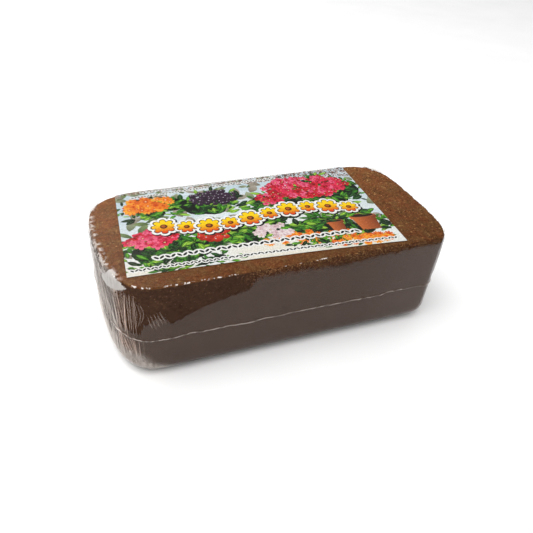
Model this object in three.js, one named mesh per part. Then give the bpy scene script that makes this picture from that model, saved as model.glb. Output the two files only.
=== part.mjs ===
// A pressed block of coconut coir, sold dry for potting soil. A printed paper label lies on its top and
// folds over the back edge, and clear shrink film holds both. The film is two sheets, one over the top
// and one under the base, welded together along a seal that runs round the block at about half height.
// Millimetres, +Z up, +X along the block, and -Y is the front. The origin is the centre of the base.

import * as THREE from "three";

// Size of the wrapped block
const LENGTH = 200;
const WIDTH = 97;
const HEIGHT = 62;

// Plan outline: straight long sides between four unlike corners. Each corner is a quarter of a
// superellipse that begins a depth before the block's end and reaches it at the middle of its width.
const BACK_RIGHT = { signX: 1, signY: 1, depth: 41, power: 4.2 };
const BACK_LEFT = { signX: -1, signY: 1, depth: 44, power: 3.3 };
const FRONT_LEFT = { signX: -1, signY: -1, depth: 29, power: 3 };
const FRONT_RIGHT = { signX: 1, signY: -1, depth: 18, power: 3 };

// Side profile: the press mould lets the sides lean in towards the base
const DRAFT = 2.5;
const TOP_EDGE_RADIUS = 2.5;
const BASE_EDGE_RADIUS = 11;

// Layers, from the outside in
const FILM_THICKNESS = 0.3;
const LABEL_THICKNESS = 0.2;
const CLEARANCE = 0.3;
const LABEL_DEPTH = FILM_THICKNESS + CLEARANCE;
const BLOCK_DEPTH = LABEL_DEPTH + LABEL_THICKNESS + CLEARANCE;

// The weld between the two sheets of film stands proud as a pair of lips
const SEAL_HEIGHT = 27.3;
const LIP_REACH = 0.8;
const LIP_THICKNESS = 0.5;
const LIP_ROOT = 0.5;

// Shrinking gathers the film into upright pleats round the four corners
const PLEAT_HEIGHT = 0.8;
const PLEAT_SPREAD_DEG = 25;
const PLEAT_SHARE_SIDE = 1;
const PLEAT_SHARE_EDGE = 0.4;

// Loose coir breaks away from the block's upper edge and leaves pits of uneven depth
const CRUMBLE_DEPTH = 1;
const NOISE_STEP = 12.9898;
const NOISE_SCALE = 43758.5453;

// Label: it lies askew. Its front corners on the top, and how far its ends slant towards +X for each
// millimetre of the way from front to back
const LABEL_FRONT_LEFT = { x: -90, y: -35.4 };
const LABEL_FRONT_RIGHT = { x: 65.8, y: -44.8 };
const LABEL_LEFT_SLANT = 0.138;
const LABEL_RIGHT_SLANT = 0.075;
const LABEL_WIDTH = 97;
const LABEL_LEAST_DROP = 1;
const BELOW_LABEL = 40;

// How finely the outline and the edges are faceted
const CORNER_STEPS = 18;
const STRAIGHT_STEPS = 8;
const CORNER_CROWDING = 1.5;
const TOP_ANGLES_DEG = [0, 30, 60, 90];
const BASE_ANGLES_DEG = [0, 22.5, 45, 67.5, 90];
const CRUMBLED_ANGLES_DEG = [0, 22.5, 45, 67.5, 90];
const LABEL_LENGTH_STEPS = 32;
const LABEL_FOLD_STEPS = 4;
const LABEL_FLAT_STEPS = 3;
const SETTLING_STEPS = 3;

const radians = THREE.MathUtils.degToRad;

// Repeatable noise from 0 to 1: the digits far behind the point of a sine
function noise(seed) {
  const wave = NOISE_SCALE * Math.sin(seed * NOISE_STEP);
  return wave - Math.floor(wave);
}

// The point of the unit superellipse of a power in the direction of an angle, from 0 to 90 degrees
function cornerCurve(angle, power) {
  const c = Math.cos(angle);
  const s = Math.sin(angle);
  const reach = (c ** power + s ** power) ** (-1 / power);
  return { c: c * reach, s: s * reach };
}

// Where a corner's curve begins, as a distance from the middle of the block's length
const straightOf = (corner) => LENGTH / 2 - corner.depth;

// Angles of one corner from 0 to 90 degrees, closest together at 45 where the corner is tightest
function cornerAngles() {
  const angles = [];
  for (let i = 0; i <= CORNER_STEPS; i++) {
    const u = (2 * i) / CORNER_STEPS - 1;
    angles.push(radians(45 + 45 * Math.sign(u) * Math.abs(u) ** CORNER_CROWDING));
  }
  return angles;
}

// The outline, anticlockwise from the middle of the right-hand end. Each sample has its outermost point,
// the way it moves inwards as the outline shrinks, and how strongly the film is gathered there.
function makeOutline() {
  const samples = [];
  const addCorner = (corner, angles) => {
    const { signX, signY, depth, power } = corner;
    for (const angle of angles) {
      const { c, s } = cornerCurve(angle, power);
      const spread = (THREE.MathUtils.radToDeg(angle) - 45) / PLEAT_SPREAD_DEG;
      samples.push({
        x: signX * (straightOf(corner) + depth * c),
        y: (signY * WIDTH * s) / 2,
        inX: signX * c,
        inY: signY * s,
        gather: Math.exp(-spread * spread),
      });
    }
  };
  const addSide = (from, to) => {
    const signY = from.signY;
    for (let i = 1; i < STRAIGHT_STEPS; i++) {
      const start = from.signX * straightOf(from);
      const x = THREE.MathUtils.lerp(start, to.signX * straightOf(to), i / STRAIGHT_STEPS);
      samples.push({ x, y: (signY * WIDTH) / 2, inX: 0, inY: signY, gather: 0 });
    }
  };
  const rising = cornerAngles();
  const falling = [...rising].reverse();
  addCorner(BACK_RIGHT, rising);
  addSide(BACK_RIGHT, BACK_LEFT);
  addCorner(BACK_LEFT, falling);
  addCorner(FRONT_LEFT, rising.slice(1));
  addSide(FRONT_LEFT, FRONT_RIGHT);
  addCorner(FRONT_RIGHT, falling.slice(0, -1));
  return samples;
}

const OUTLINE = makeOutline();

// How far the side leans in at a height
function lean(z) {
  const low = BASE_EDGE_RADIUS;
  const high = HEIGHT - TOP_EDGE_RADIUS;
  return DRAFT * THREE.MathUtils.clamp((high - z) / (high - low), 0, 1);
}

// One loop of points round the block. The profile gives each sample's inset from the outline and height.
function ring(profile) {
  return OUTLINE.map((sample, index) => {
    const { inset, z } = profile(sample, index);
    return new THREE.Vector3(sample.x - inset * sample.inX, sample.y - inset * sample.inY, z);
  });
}

function sideRing(z, depthAt) {
  return ring((sample, index) => ({ inset: lean(z) + depthAt(sample, index), z }));
}

// Loops over the rounded upper edge, from the side at 0 degrees to the top at 90
function topEdgeRing(degrees, depthAt) {
  const angle = radians(degrees);
  return ring((sample, index) => {
    const radius = TOP_EDGE_RADIUS - depthAt(sample, index);
    return {
      inset: TOP_EDGE_RADIUS - radius * Math.cos(angle),
      z: HEIGHT - TOP_EDGE_RADIUS + radius * Math.sin(angle),
    };
  });
}

// Loops over the rounded lower edge, from the base at 0 degrees to the side at 90
function baseEdgeRing(degrees, depthAt) {
  const angle = radians(degrees);
  return ring((sample, index) => {
    const radius = BASE_EDGE_RADIUS - depthAt(sample, index);
    return {
      inset: DRAFT + BASE_EDGE_RADIUS - radius * Math.sin(angle),
      z: BASE_EDGE_RADIUS - radius * Math.cos(angle),
    };
  });
}

// Closed skin over a run of loops, from a first end point to a last one
function skin(firstPoint, rings, lastPoint) {
  const count = OUTLINE.length;
  const points = [firstPoint, ...rings.flat(), lastPoint];
  const last = points.length - 1;
  const index = [];
  for (let j = 0; j < count; j++) {
    const next = (j + 1) % count;
    index.push(0, 1 + next, 1 + j);
    for (let i = 0; i + 1 < rings.length; i++) {
      const here = 1 + i * count;
      const above = here + count;
      index.push(here + j, here + next, above + next, here + j, above + next, above + j);
    }
    const topRing = 1 + (rings.length - 1) * count;
    index.push(topRing + j, topRing + next, last);
  }
  const geometry = new THREE.BufferGeometry().setFromPoints(points);
  geometry.setIndex(index);
  geometry.computeVertexNormals();
  return geometry;
}

const axisPoint = (z) => new THREE.Vector3(0, 0, z);

// The pressed coir: smooth faces, with pits broken out of the upper edge. It fills the film everywhere
// but under the label, where it lies deeper by the sheet's thickness and its gap.
function blockGeometry() {
  const inFilm = () => LABEL_DEPTH;
  const underLabel = () => BLOCK_DEPTH;
  const crumbled = (degrees) => (sample, index) => {
    const share = Math.sin(2 * radians(degrees));
    return BLOCK_DEPTH + CRUMBLE_DEPTH * share * noise(index + degrees);
  };
  const rings = [
    ...BASE_ANGLES_DEG.map((a) => baseEdgeRing(a, inFilm)),
    sideRing(SEAL_HEIGHT, inFilm),
    sideRing(BELOW_LABEL, underLabel),
    ...CRUMBLED_ANGLES_DEG.map((a) => topEdgeRing(a, crumbled(a))),
  ];
  return skin(axisPoint(LABEL_DEPTH), rings, axisPoint(HEIGHT - BLOCK_DEPTH));
}

// Depth of the film's outer face: ridges on every second sample stand out where the film is gathered
function pleated(share) {
  return (sample, index) => -PLEAT_HEIGHT * share * sample.gather * (index % 2);
}

const filmOuter = () => 0;
const filmInner = () => FILM_THICKNESS;
const lipOuter = () => -LIP_REACH;

// The upper sheet: over the top and down the sides to the seal
function upperFilmGeometry() {
  const rim = SEAL_HEIGHT + CLEARANCE / 2;
  const lipTop = rim + LIP_THICKNESS;
  const middle = (rim + HEIGHT - TOP_EDGE_RADIUS) / 2;
  const inside = [...TOP_ANGLES_DEG].reverse();
  const rings = [
    ...inside.map((a) => topEdgeRing(a, filmInner)),
    sideRing(rim, filmInner),
    sideRing(rim, lipOuter),
    sideRing(lipTop, lipOuter),
    sideRing(lipTop + LIP_ROOT, filmOuter),
    sideRing(middle, pleated(PLEAT_SHARE_SIDE)),
    topEdgeRing(TOP_ANGLES_DEG[0], pleated(PLEAT_SHARE_EDGE)),
    ...TOP_ANGLES_DEG.slice(1).map((a) => topEdgeRing(a, filmOuter)),
  ];
  return skin(axisPoint(HEIGHT - FILM_THICKNESS), rings, axisPoint(HEIGHT));
}

// The lower sheet: under the base and up the sides to the seal
function lowerFilmGeometry() {
  const rim = SEAL_HEIGHT - CLEARANCE / 2;
  const lipBase = rim - LIP_THICKNESS;
  const middle = (BASE_EDGE_RADIUS + rim) / 2;
  const inside = [...BASE_ANGLES_DEG].reverse();
  const rings = [
    ...BASE_ANGLES_DEG.slice(0, -1).map((a) => baseEdgeRing(a, filmOuter)),
    baseEdgeRing(BASE_ANGLES_DEG.at(-1), pleated(PLEAT_SHARE_EDGE)),
    sideRing(middle, pleated(PLEAT_SHARE_SIDE)),
    sideRing(lipBase - LIP_ROOT, filmOuter),
    sideRing(lipBase, lipOuter),
    sideRing(rim, lipOuter),
    sideRing(rim, filmInner),
    ...inside.map((a) => baseEdgeRing(a, filmInner)),
  ];
  return skin(axisPoint(0), rings, axisPoint(FILM_THICKNESS));
}

// How far the back of the outline lies behind its middle line at a place along the block's length, when
// the outline is shrunk by an inset
function backAt(x, inset) {
  const corner = x < 0 ? BACK_LEFT : BACK_RIGHT;
  const along = Math.max(0, Math.abs(x) - straightOf(corner)) / (corner.depth - inset);
  return (WIDTH / 2 - inset) * (1 - along ** corner.power) ** (1 / corner.power);
}

// One line across the sheet from its front edge to its back, at a share of the way along its length. It
// crosses the flat top, goes round the back edge and hangs down the back. The way round is a quarter of
// an ellipse, longer where the outline curves. Where the line leaves the flat top depends on its slant,
// so that place is found by closing in on it.
function labelLine(share, depth) {
  const frontX = THREE.MathUtils.lerp(LABEL_FRONT_LEFT.x, LABEL_FRONT_RIGHT.x, share);
  const frontY = THREE.MathUtils.lerp(LABEL_FRONT_LEFT.y, LABEL_FRONT_RIGHT.y, share);
  const slant = THREE.MathUtils.lerp(LABEL_LEFT_SLANT, LABEL_RIGHT_SLANT, share);
  const xAfter = (travel) => frontX + slant * travel;
  let flat = WIDTH / 2 - frontY;
  for (let i = 0; i < SETTLING_STEPS; i++) {
    flat = backAt(xAfter(flat), TOP_EDGE_RADIUS) - frontY;
  }
  const back = backAt(xAfter(flat), LABEL_DEPTH) - backAt(xAfter(flat), TOP_EDGE_RADIUS);
  const down = TOP_EDGE_RADIUS - LABEL_DEPTH;
  const around = (Math.PI / 2) * Math.sqrt((back * back + down * down) / 2);
  const drop = Math.max(LABEL_LEAST_DROP, LABEL_WIDTH - flat - around);

  const points = [];
  for (let i = 0; i < LABEL_FLAT_STEPS; i++) {
    const travel = (flat * i) / LABEL_FLAT_STEPS;
    points.push(new THREE.Vector3(xAfter(travel), frontY + travel, HEIGHT - depth));
  }
  const radius = TOP_EDGE_RADIUS - depth;
  for (let i = 0; i <= LABEL_FOLD_STEPS; i++) {
    const x = xAfter(flat + (around * i) / LABEL_FOLD_STEPS);
    const turn = ((Math.PI / 2) * i) / LABEL_FOLD_STEPS;
    const inset = TOP_EDGE_RADIUS - radius * Math.sin(turn);
    const z = HEIGHT - TOP_EDGE_RADIUS + radius * Math.cos(turn);
    points.push(new THREE.Vector3(x, backAt(x, inset), z));
  }
  const hem = HEIGHT - TOP_EDGE_RADIUS - drop;
  const hemX = xAfter(flat + around + drop);
  points.push(new THREE.Vector3(hemX, backAt(hemX, lean(hem) + depth), hem));
  return points;
}

// The paper label: a thin sheet with an upper and a lower face and a closed rim
function labelGeometry() {
  const shares = [];
  for (let i = 0; i <= LABEL_LENGTH_STEPS; i++) {
    shares.push(i / LABEL_LENGTH_STEPS);
  }
  const upper = shares.flatMap((share) => labelLine(share, LABEL_DEPTH));
  const lower = shares.flatMap((share) => labelLine(share, LABEL_DEPTH + LABEL_THICKNESS));
  const under = upper.length;
  const columns = under / shares.length;
  const index = [];
  const quad = (a, b, c, d) => index.push(a, b, c, a, c, d);
  const at = (i, j) => i * columns + j;
  const lastRow = shares.length - 1;
  const lastColumn = columns - 1;
  for (let i = 0; i < lastRow; i++) {
    for (let j = 0; j < lastColumn; j++) {
      quad(at(i, j), at(i + 1, j), at(i + 1, j + 1), at(i, j + 1));
      quad(under + at(i, j), under + at(i, j + 1), under + at(i + 1, j + 1), under + at(i + 1, j));
    }
    quad(at(i, 0), under + at(i, 0), under + at(i + 1, 0), at(i + 1, 0));
    quad(at(i, lastColumn), at(i + 1, lastColumn), under + at(i + 1, lastColumn), under + at(i, lastColumn));
  }
  for (let j = 0; j < lastColumn; j++) {
    quad(at(0, j), at(0, j + 1), under + at(0, j + 1), under + at(0, j));
    quad(at(lastRow, j), under + at(lastRow, j), under + at(lastRow, j + 1), at(lastRow, j + 1));
  }
  const geometry = new THREE.BufferGeometry().setFromPoints([...upper, ...lower]);
  geometry.setIndex(index);
  geometry.computeVertexNormals();
  return geometry;
}

const coir = new THREE.MeshStandardMaterial({ color: "#6b4630", roughness: 0.95, metalness: 0 });
const paper = new THREE.MeshStandardMaterial({ color: "#d9dfd6", roughness: 0.6, metalness: 0 });
const film = new THREE.MeshStandardMaterial({
  color: "#e6e4e0",
  roughness: 0.15,
  metalness: 0,
  transparent: true,
  opacity: 0.2,
});

function piece(name, geometry, material) {
  const mesh = new THREE.Mesh(geometry, material);
  mesh.name = name;
  return mesh;
}

const bale = new THREE.Group();
bale.add(
  piece("coir_block", blockGeometry(), coir),
  piece("label_sheet", labelGeometry(), paper),
  piece("film_upper", upperFilmGeometry(), film),
  piece("film_lower", lowerFilmGeometry(), film),
);

export default bale;
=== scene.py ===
import itertools
import math

import bmesh
import bpy
import numpy as np
from mathutils import Matrix, Vector
from mathutils.bvhtree import BVHTree
from mathutils.geometry import delaunay_2d_cdt


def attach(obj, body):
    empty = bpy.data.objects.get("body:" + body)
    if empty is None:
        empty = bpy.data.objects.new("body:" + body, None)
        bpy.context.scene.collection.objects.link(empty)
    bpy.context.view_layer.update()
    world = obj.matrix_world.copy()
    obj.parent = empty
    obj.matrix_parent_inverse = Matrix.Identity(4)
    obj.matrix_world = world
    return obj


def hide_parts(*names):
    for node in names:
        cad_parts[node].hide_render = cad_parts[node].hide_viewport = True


# A pressed block of coconut coir in clear shrink film, with a printed paper label on its top.
# Lengths are in millimetres until a mesh is made, and +Z is up. The block's form is the CAD's.

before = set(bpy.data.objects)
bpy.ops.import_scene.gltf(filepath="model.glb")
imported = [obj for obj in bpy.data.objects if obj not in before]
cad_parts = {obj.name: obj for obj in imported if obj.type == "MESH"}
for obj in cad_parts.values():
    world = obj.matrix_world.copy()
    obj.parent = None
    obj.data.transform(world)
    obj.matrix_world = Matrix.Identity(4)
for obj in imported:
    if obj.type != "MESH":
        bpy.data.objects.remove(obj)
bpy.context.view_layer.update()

MM = 0.001

# Form of the wrapped block
LENGTH = 200
WIDTH = 97
HEIGHT = 62
DRAFT = 2.5
TOP_RADIUS = 2.5
BASE_RADIUS = 11
SPINE = 50
SEAL_HEIGHT = 27.3
QUARTER_SAMPLES = 721

# The plan's four unlike corners, anticlockwise from the back right: the sides along x and y, how far
# before the block's end the curve begins, and the power of its superellipse
CORNERS = ((1, 1, 41, 4.2), (-1, 1, 44, 3.3), (-1, -1, 29, 3.0), (1, -1, 18, 3.0))
FRONT_LEFT = 2

# Depth of each layer below the CAD's outer surface
FILM_DEPTH = 0.12
LABEL_DEPTH = 0.5
COIR_DEPTH = 0.9

# The camera, fitted to the outline in the photograph
CAMERA_PLACE = (-138.5, -286.9, 250.9)
CAMERA_AZIMUTH = -26.05
CAMERA_ELEVATION = 35.22
CAMERA_ROLL = 5.72
CAMERA_LENS = 43.33
CAMERA_SENSOR = 36
CAMERA_NEAREST = 0.01

# The label lies askew: its front corners, and how far its ends slant towards +X for each millimetre of
# the way to the back
LABEL_FRONT_LEFT = np.array((-90.0, -35.4))
LABEL_FRONT_RIGHT = np.array((65.8, -44.8))
LABEL_LEFT_SLANT = 0.138
LABEL_RIGHT_SLANT = 0.075
LABEL_BOW = 1.5
LABEL_LENGTH = 155
LABEL_WIDTH = 97

# The label ripples a little, up to this far from its front
LABEL_RIPPLE = 0.2
LABEL_RIPPLE_END = 70

# Wear of the front's upper edge: its depth, its middle and reach along the block, the height above which
# it lies, and how far in front of the block's middle line it begins
WEAR_DEPTH = 1.8
WEAR_MIDDLE = -13
WEAR_REACH = 26
WEAR_LOWEST = 54
WEAR_INNERMOST = 42

# How deep the front left corner's upper edge is pressed flat, and the height of the middle of that
PRESSED_DEPTH = 0.8
PRESSED_HEIGHT = 60.6

# Above the first height the coir has the top's colour, and above the second, where it is worn, some of it
TOP_TONE_HEIGHT = 60.6
BAND_TONE_HEIGHT = 54

# Vertices nearer than this are joined
WELD_DISTANCE = 0.01


def linear(red, green, blue):
    """A colour given in 0 to 255 screen values, as the linear values that shaders use."""
    share = np.array([red, green, blue]) / 255
    low = share / 12.92
    high = ((share + 0.055) / 1.055) ** 2.4
    return tuple(np.where(share <= 0.04045, low, high))


def ramp_stops(places, *colours):
    """Places along a ramp and their colours, from screen values."""
    return [(place, linear(*colour)) for place, colour in zip(places, colours)]


def pairs(*rows):
    """Pairs of colours, from six screen values a row."""
    return [(linear(*row[:3]), linear(*row[3:])) for row in rows]


# Shape of the block


def outline(count):
    """Points evenly spaced round the block: x, y, and the inward pull along x and y, a row each."""
    angle = np.linspace(0, math.pi / 2, QUARTER_SAMPLES)
    circle = np.column_stack([np.cos(angle), np.sin(angle)])
    quadrants = []
    for sign_x, sign_y, depth, power in CORNERS:
        pull = circle * ((circle**power).sum(axis=1) ** (-1 / power))[:, None]
        corner = np.column_stack([(LENGTH / 2 - depth, 0) + pull * (depth, WIDTH / 2), pull])
        quadrants.append(corner[:: sign_x * sign_y] * (sign_x, sign_y, sign_x, sign_y))
    loop = np.concatenate(quadrants)
    travelled = np.concatenate([[0], np.cumsum(np.hypot(*np.diff(loop[:, :2], axis=0).T))])
    at = np.linspace(0, travelled[-1], count, endpoint=False)
    return np.column_stack([np.interp(at, travelled, column) for column in loop.T])


def lean(z):
    """How far the side leans in at a height."""
    high = HEIGHT - TOP_RADIUS
    return DRAFT * np.clip((high - z) / (high - BASE_RADIUS), 0, 1)


def base_stations(flat_steps, edge_steps):
    """Rows of inset, height, outward share along the inset, outward share upwards, and share of the
    way to the spine: over the base from its middle and round the lower edge."""
    rows = []
    for share in np.linspace(1, 0, flat_steps, endpoint=False):
        rows.append((DRAFT + BASE_RADIUS, 0, 0, -1, share))
    for turn in np.linspace(0, math.pi / 2, edge_steps):
        inset = DRAFT + BASE_RADIUS * (1 - math.sin(turn))
        rows.append((inset, BASE_RADIUS * (1 - math.cos(turn)), math.sin(turn), -math.cos(turn), 0))
    return rows


def side_stations(heights):
    """The same rows up the side, at heights."""
    return [(float(lean(z)), z, 1, 0, 0) for z in heights]


def top_stations(flat_steps, edge_steps):
    """The same rows round the upper edge and over the top to its middle."""
    rows = []
    for turn in np.linspace(0, math.pi / 2, edge_steps):
        inset = TOP_RADIUS * (1 - math.cos(turn))
        z = HEIGHT - TOP_RADIUS * (1 - math.sin(turn))
        rows.append((inset, z, math.cos(turn), math.sin(turn), 0))
    for share in np.linspace(0, 1, flat_steps + 1)[1:] ** 1.4:
        rows.append((TOP_RADIUS, HEIGHT, 0, 1, share))
    return rows


def station_columns(stations):
    """The stations' five numbers, each as one column."""
    return (column[:, None] for column in np.array(stations).T)


def surface(loop, stations, depth=0.0, lift=0.0):
    """Points of rows by columns, at a depth below the outermost surface and raised by a lift."""
    inset, z, out_side, out_up, to_spine = station_columns(stations)
    total = inset + depth * out_side
    x = loop[:, 0] - total * loop[:, 2]
    y = loop[:, 1] - total * loop[:, 3]
    x = x + to_spine * (np.clip(loop[:, 0], -SPINE, SPINE) - x)
    y = y * (1 - to_spine)
    return np.stack([x, y, z - depth * out_up + lift + 0 * x], axis=-1)


def unit(vectors):
    """The same directions, each with a length of 1."""
    return vectors / np.maximum(np.linalg.norm(vectors, axis=-1, keepdims=True), 1e-9)


def outward(points):
    """Unit normals of a surface of rows by columns, where the rows run upwards and the columns round."""
    round_it = np.roll(points, -1, axis=1) - np.roll(points, 1, axis=1)
    return unit(np.cross(round_it, np.gradient(points, axis=0)))


def noise(points, size, seed):
    """Smooth noise from 0 to 1 with features of a size in mm."""
    place = points / size
    cell = np.floor(place).astype(np.int64)
    blend = place - cell
    blend = blend * blend * (3 - 2 * blend)
    total = np.zeros(points.shape[:-1])
    for corner in itertools.product((0, 1), repeat=3):
        key = cell + corner
        mixed = key[..., 0] * 73856093 ^ key[..., 1] * 19349663 ^ key[..., 2] * 83492791 ^ seed * 40503
        mixed = (mixed ^ (mixed >> 13)) * 1274126177 & 0xFFFFFFFF
        mixed = (mixed ^ (mixed >> 16)) & 0xFFFF
        weight = np.where(corner, blend, 1 - blend).prod(axis=-1)
        total += weight * mixed / 0xFFFF
    return total


def layered_noise(points, size, seed, layers=3):
    """Noise from 0 to 1 with finer layers on the coarse one."""
    total = sum(noise(points, size / 2**i, seed + i) / 2**i for i in range(layers))
    return total / sum(1 / 2**i for i in range(layers))


def swing(points, size, seed, layers=3):
    """Layered noise from -0.5 to 0.5."""
    return layered_noise(points, size, seed, layers) - 0.5


def bell(shift):
    """1 at no shift, and falling off to 0 on both sides."""
    return np.exp(-(shift**2))


def ease(low, high, value):
    """A smooth share from 0 at the low value to 1 at the high one."""
    share = np.clip((value - low) / (high - low), 0, 1)
    return share * share * (3 - 2 * share)


def scoop(points):
    """How deep the front's upper edge is worn away, in mm: deepest a little left of its middle."""
    x, y, z = np.moveaxis(points, -1, 0)
    along = bell((x - WEAR_MIDDLE) / WEAR_REACH)
    high = np.clip((z - WEAR_LOWEST) / 6, 0, 1)
    return WEAR_DEPTH * along * (y < 0) * high * np.clip((-y - WEAR_INNERMOST) / 4, 0, 1)


def corner_distance(loop):
    """Each sample's distance from its own corner's middle, negative towards the block's end, and the
    corner's number."""
    step = np.hypot(*(loop[1, :2] - loop[0, :2]))
    index, half = np.arange(len(loop)), len(loop) / 2
    lopsided = np.abs(np.abs(loop[:, 2]) - np.abs(loop[:, 3]))
    signs = np.array(CORNERS)[:, :2]
    middles = [np.where((loop[:, :2] * sign > 0).all(axis=1), lopsided, 9).argmin() for sign in signs]
    away = (index - np.array(middles)[:, None] + half) % len(loop) - half
    corner = np.abs(away).argmin(axis=0)
    return away[corner, index] * step * signs.prod(axis=1)[corner], corner


# Where the film is stretched flat over the front left corner: for distances from the corner's middle,
# how low and how high it reaches. Above 62 it lies on the top, so many millimetres in from the edge.
PATCH_DISTANCE = (-23, -21, -18, -14, -12, -9.4, -7.4, -4.3, 0.8, 3.8)
PATCH_LOWEST = (51, 50.2, 50.5, 51, 51.6, 52.5, 53.4, 54.5, 57, 59.4)
PATCH_HIGHEST = (51, 54, 56.6, 58.6, 61.6, 62.6, 62.4, 61.4, 60.4, 59.6)


def from_rim(loop, points):
    """How far points lie from the rim of the flat top, column by column."""
    return np.linalg.norm(points - surface(loop, [(TOP_RADIUS, HEIGHT, 0, 1, 0)]), axis=-1)


def front_left_patch(loop, points, distance, corner):
    """Where the front left corner's edge is flattened under stretched film, from 0 to 1."""
    ragged = swing(points, 2.5, 41)
    lowest = np.interp(distance, PATCH_DISTANCE, PATCH_LOWEST) + 0.9 * ragged
    highest = np.interp(distance, PATCH_DISTANCE, PATCH_HIGHEST) + ragged
    height = points[..., 2] + from_rim(loop, points) * (points[..., 2] > HEIGHT - 0.01)
    across = (distance > PATCH_DISTANCE[0]) & (distance < PATCH_DISTANCE[-1]) & (corner == FRONT_LEFT)
    return ease(-0.2, 0.2, highest - height) * ease(-0.25, 0.25, height - lowest) * across


def flattened(loop, points):
    """How deep the front left corner's upper edge is pressed flat, in mm."""
    distance, corner = corner_distance(loop)
    share = np.interp(distance, (-22, -14, -2, 5), (0, 1, 1, 0)) * (corner == FRONT_LEFT)
    return PRESSED_DEPTH * share * np.clip(1 - np.abs(points[..., 2] - PRESSED_HEIGHT) / 5, 0, 1)


# Meshes


def add_object(name, data):
    """A new object in the scene."""
    made = bpy.data.objects.new(name, data)
    bpy.context.scene.collection.objects.link(made)
    return made


def add_mesh(name, points, faces, material):
    """A mesh object from points in mm."""
    mesh = bpy.data.meshes.new(name)
    mesh.from_pydata((np.asarray(points).reshape(-1, 3) * MM).tolist(), [], np.asarray(faces).tolist())
    mesh.materials.append(material)
    return add_object(name, mesh)


def make_object(name, points, faces, material, smooth=True):
    """A mesh object that rides on the part's one body."""
    made = add_mesh(name, points, faces, material)
    made.data.polygons.foreach_set("use_smooth", [smooth] * len(made.data.polygons))
    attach(made, "root")
    return made


def set_numbers(made, **numbers):
    """Numbers for each vertex, which materials read by their names."""
    for name, values in numbers.items():
        layer = made.data.attributes.new(name, "FLOAT", "POINT")
        layer.data.foreach_set("value", np.asarray(values, dtype=np.float32).ravel())


def weld(made):
    """Joins vertices that meet, as they do along the spine of a cap."""
    shape = bmesh.new()
    shape.from_mesh(made.data)
    bmesh.ops.remove_doubles(shape, verts=shape.verts, dist=WELD_DISTANCE * MM)
    shape.to_mesh(made.data)
    shape.free()


def grid_faces(rows, columns):
    """Quads over rows by columns of points, closed round the columns."""
    row, column = np.meshgrid(np.arange(rows - 1), np.arange(columns), indexing="ij")
    beside = (column + 1) % columns
    quads = [row * columns + column, row * columns + beside, (row + 1) * columns + beside]
    return np.stack(quads + [(row + 1) * columns + column], axis=-1).reshape(-1, 4)


def repeated(faces, points_each, count):
    """The faces of one small shape, for each of a number of copies."""
    return (faces + points_each * np.arange(count)[:, None, None]).reshape(-1, faces.shape[1])


def on_surface(grid, row, column):
    """Values of a grid between its rows and columns, closed round the columns."""
    low_row = np.clip(np.floor(row).astype(int), 0, grid.shape[0] - 2)
    low_column = np.floor(column).astype(int)
    across, along = (row - low_row)[..., None], (column - low_column)[..., None]
    here = low_column % grid.shape[1]
    beside = (low_column + 1) % grid.shape[1]
    lower = grid[low_row, here] * (1 - along) + grid[low_row, beside] * along
    upper = grid[low_row + 1, here] * (1 - along) + grid[low_row + 1, beside] * along
    return lower * (1 - across) + upper * across


# Materials


def new_material(name):
    """A material with its node tree, its Principled node and the place on the object."""
    material = bpy.data.materials.new(name)
    material.use_nodes = True
    tree = material.node_tree
    place = add_node(tree, "ShaderNodeTexCoord").outputs["Object"]
    return material, tree, tree.nodes["Principled BSDF"], place


class Value:
    """A number or colour in a node tree. Sums on it are made as Math nodes."""

    def __init__(self, socket):
        self.socket = socket

    def __add__(self, other):
        return maths("ADD", self, other)

    def __sub__(self, other):
        return maths("SUBTRACT", self, other)

    def __rsub__(self, other):
        return maths("SUBTRACT", other, self)

    def __mul__(self, other):
        return maths("MULTIPLY", self, other)

    def __truediv__(self, other):
        return maths("DIVIDE", self, other)

    def at_least(self, other):
        return maths("MAXIMUM", self, other)

    def held(self):
        """The same sum, held between 0 and 1."""
        self.socket.node.use_clamp = True
        return self

    def mapped(self, low, high, to_low=0.0, to_high=1.0):
        """The value taken from one range to another and held there."""
        inputs = dict(enumerate((self, low, high, to_low, to_high)))
        return Value(add_node(self.socket.id_data, "ShaderNodeMapRange", inputs).outputs[0])


def maths(operation, first, second):
    """The result of one sum, of which at least one side is a Value."""
    tree = (first if isinstance(first, Value) else second).socket.id_data
    made = add_node(tree, "ShaderNodeMath", {0: first, 1: second}, operation=operation)
    return Value(made.outputs[0])


def feed(node, inputs):
    """Links Values and sockets to a node's inputs, and sets plain numbers on the inputs themselves."""
    for key, value in inputs.items():
        value = value.socket if isinstance(value, Value) else value
        if isinstance(value, bpy.types.NodeSocket):
            node.id_data.links.new(value, node.inputs[key])
        else:
            node.inputs[key].default_value = value


def add_node(tree, kind, inputs=None, **settings):
    """A node with its settings and its inputs."""
    made = tree.nodes.new(kind)
    for key, value in settings.items():
        setattr(made, key, value)
    feed(made, inputs or {})
    return made


def ramp(tree, value, stops):
    """Colours along a value, from pairs of position and colour."""
    made = add_node(tree, "ShaderNodeValToRGB", {0: value})
    band = made.color_ramp
    while len(band.elements) < len(stops):
        band.elements.new(0.5)
    for element, (place, colour) in zip(band.elements, stops):
        element.position = place
        element.color = (*colour, 1)
    return made.outputs["Color"]


def times(tree, first, second):
    """Two colours multiplied, or a colour and a number."""
    return add_node(tree, "ShaderNodeVectorMath", {0: first, 1: second}, operation="MULTIPLY").outputs[0]


def blended(tree, share, first, second):
    """A share of the way from one colour to another."""
    return add_node(tree, "ShaderNodeMix", {0: share, 6: first, 7: second}, data_type="RGBA").outputs[2]


def bumps(tree, height, strength, size_mm):
    inputs = {"Height": height, "Strength": strength, "Distance": size_mm * MM}
    return add_node(tree, "ShaderNodeBump", inputs).outputs[0]


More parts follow.
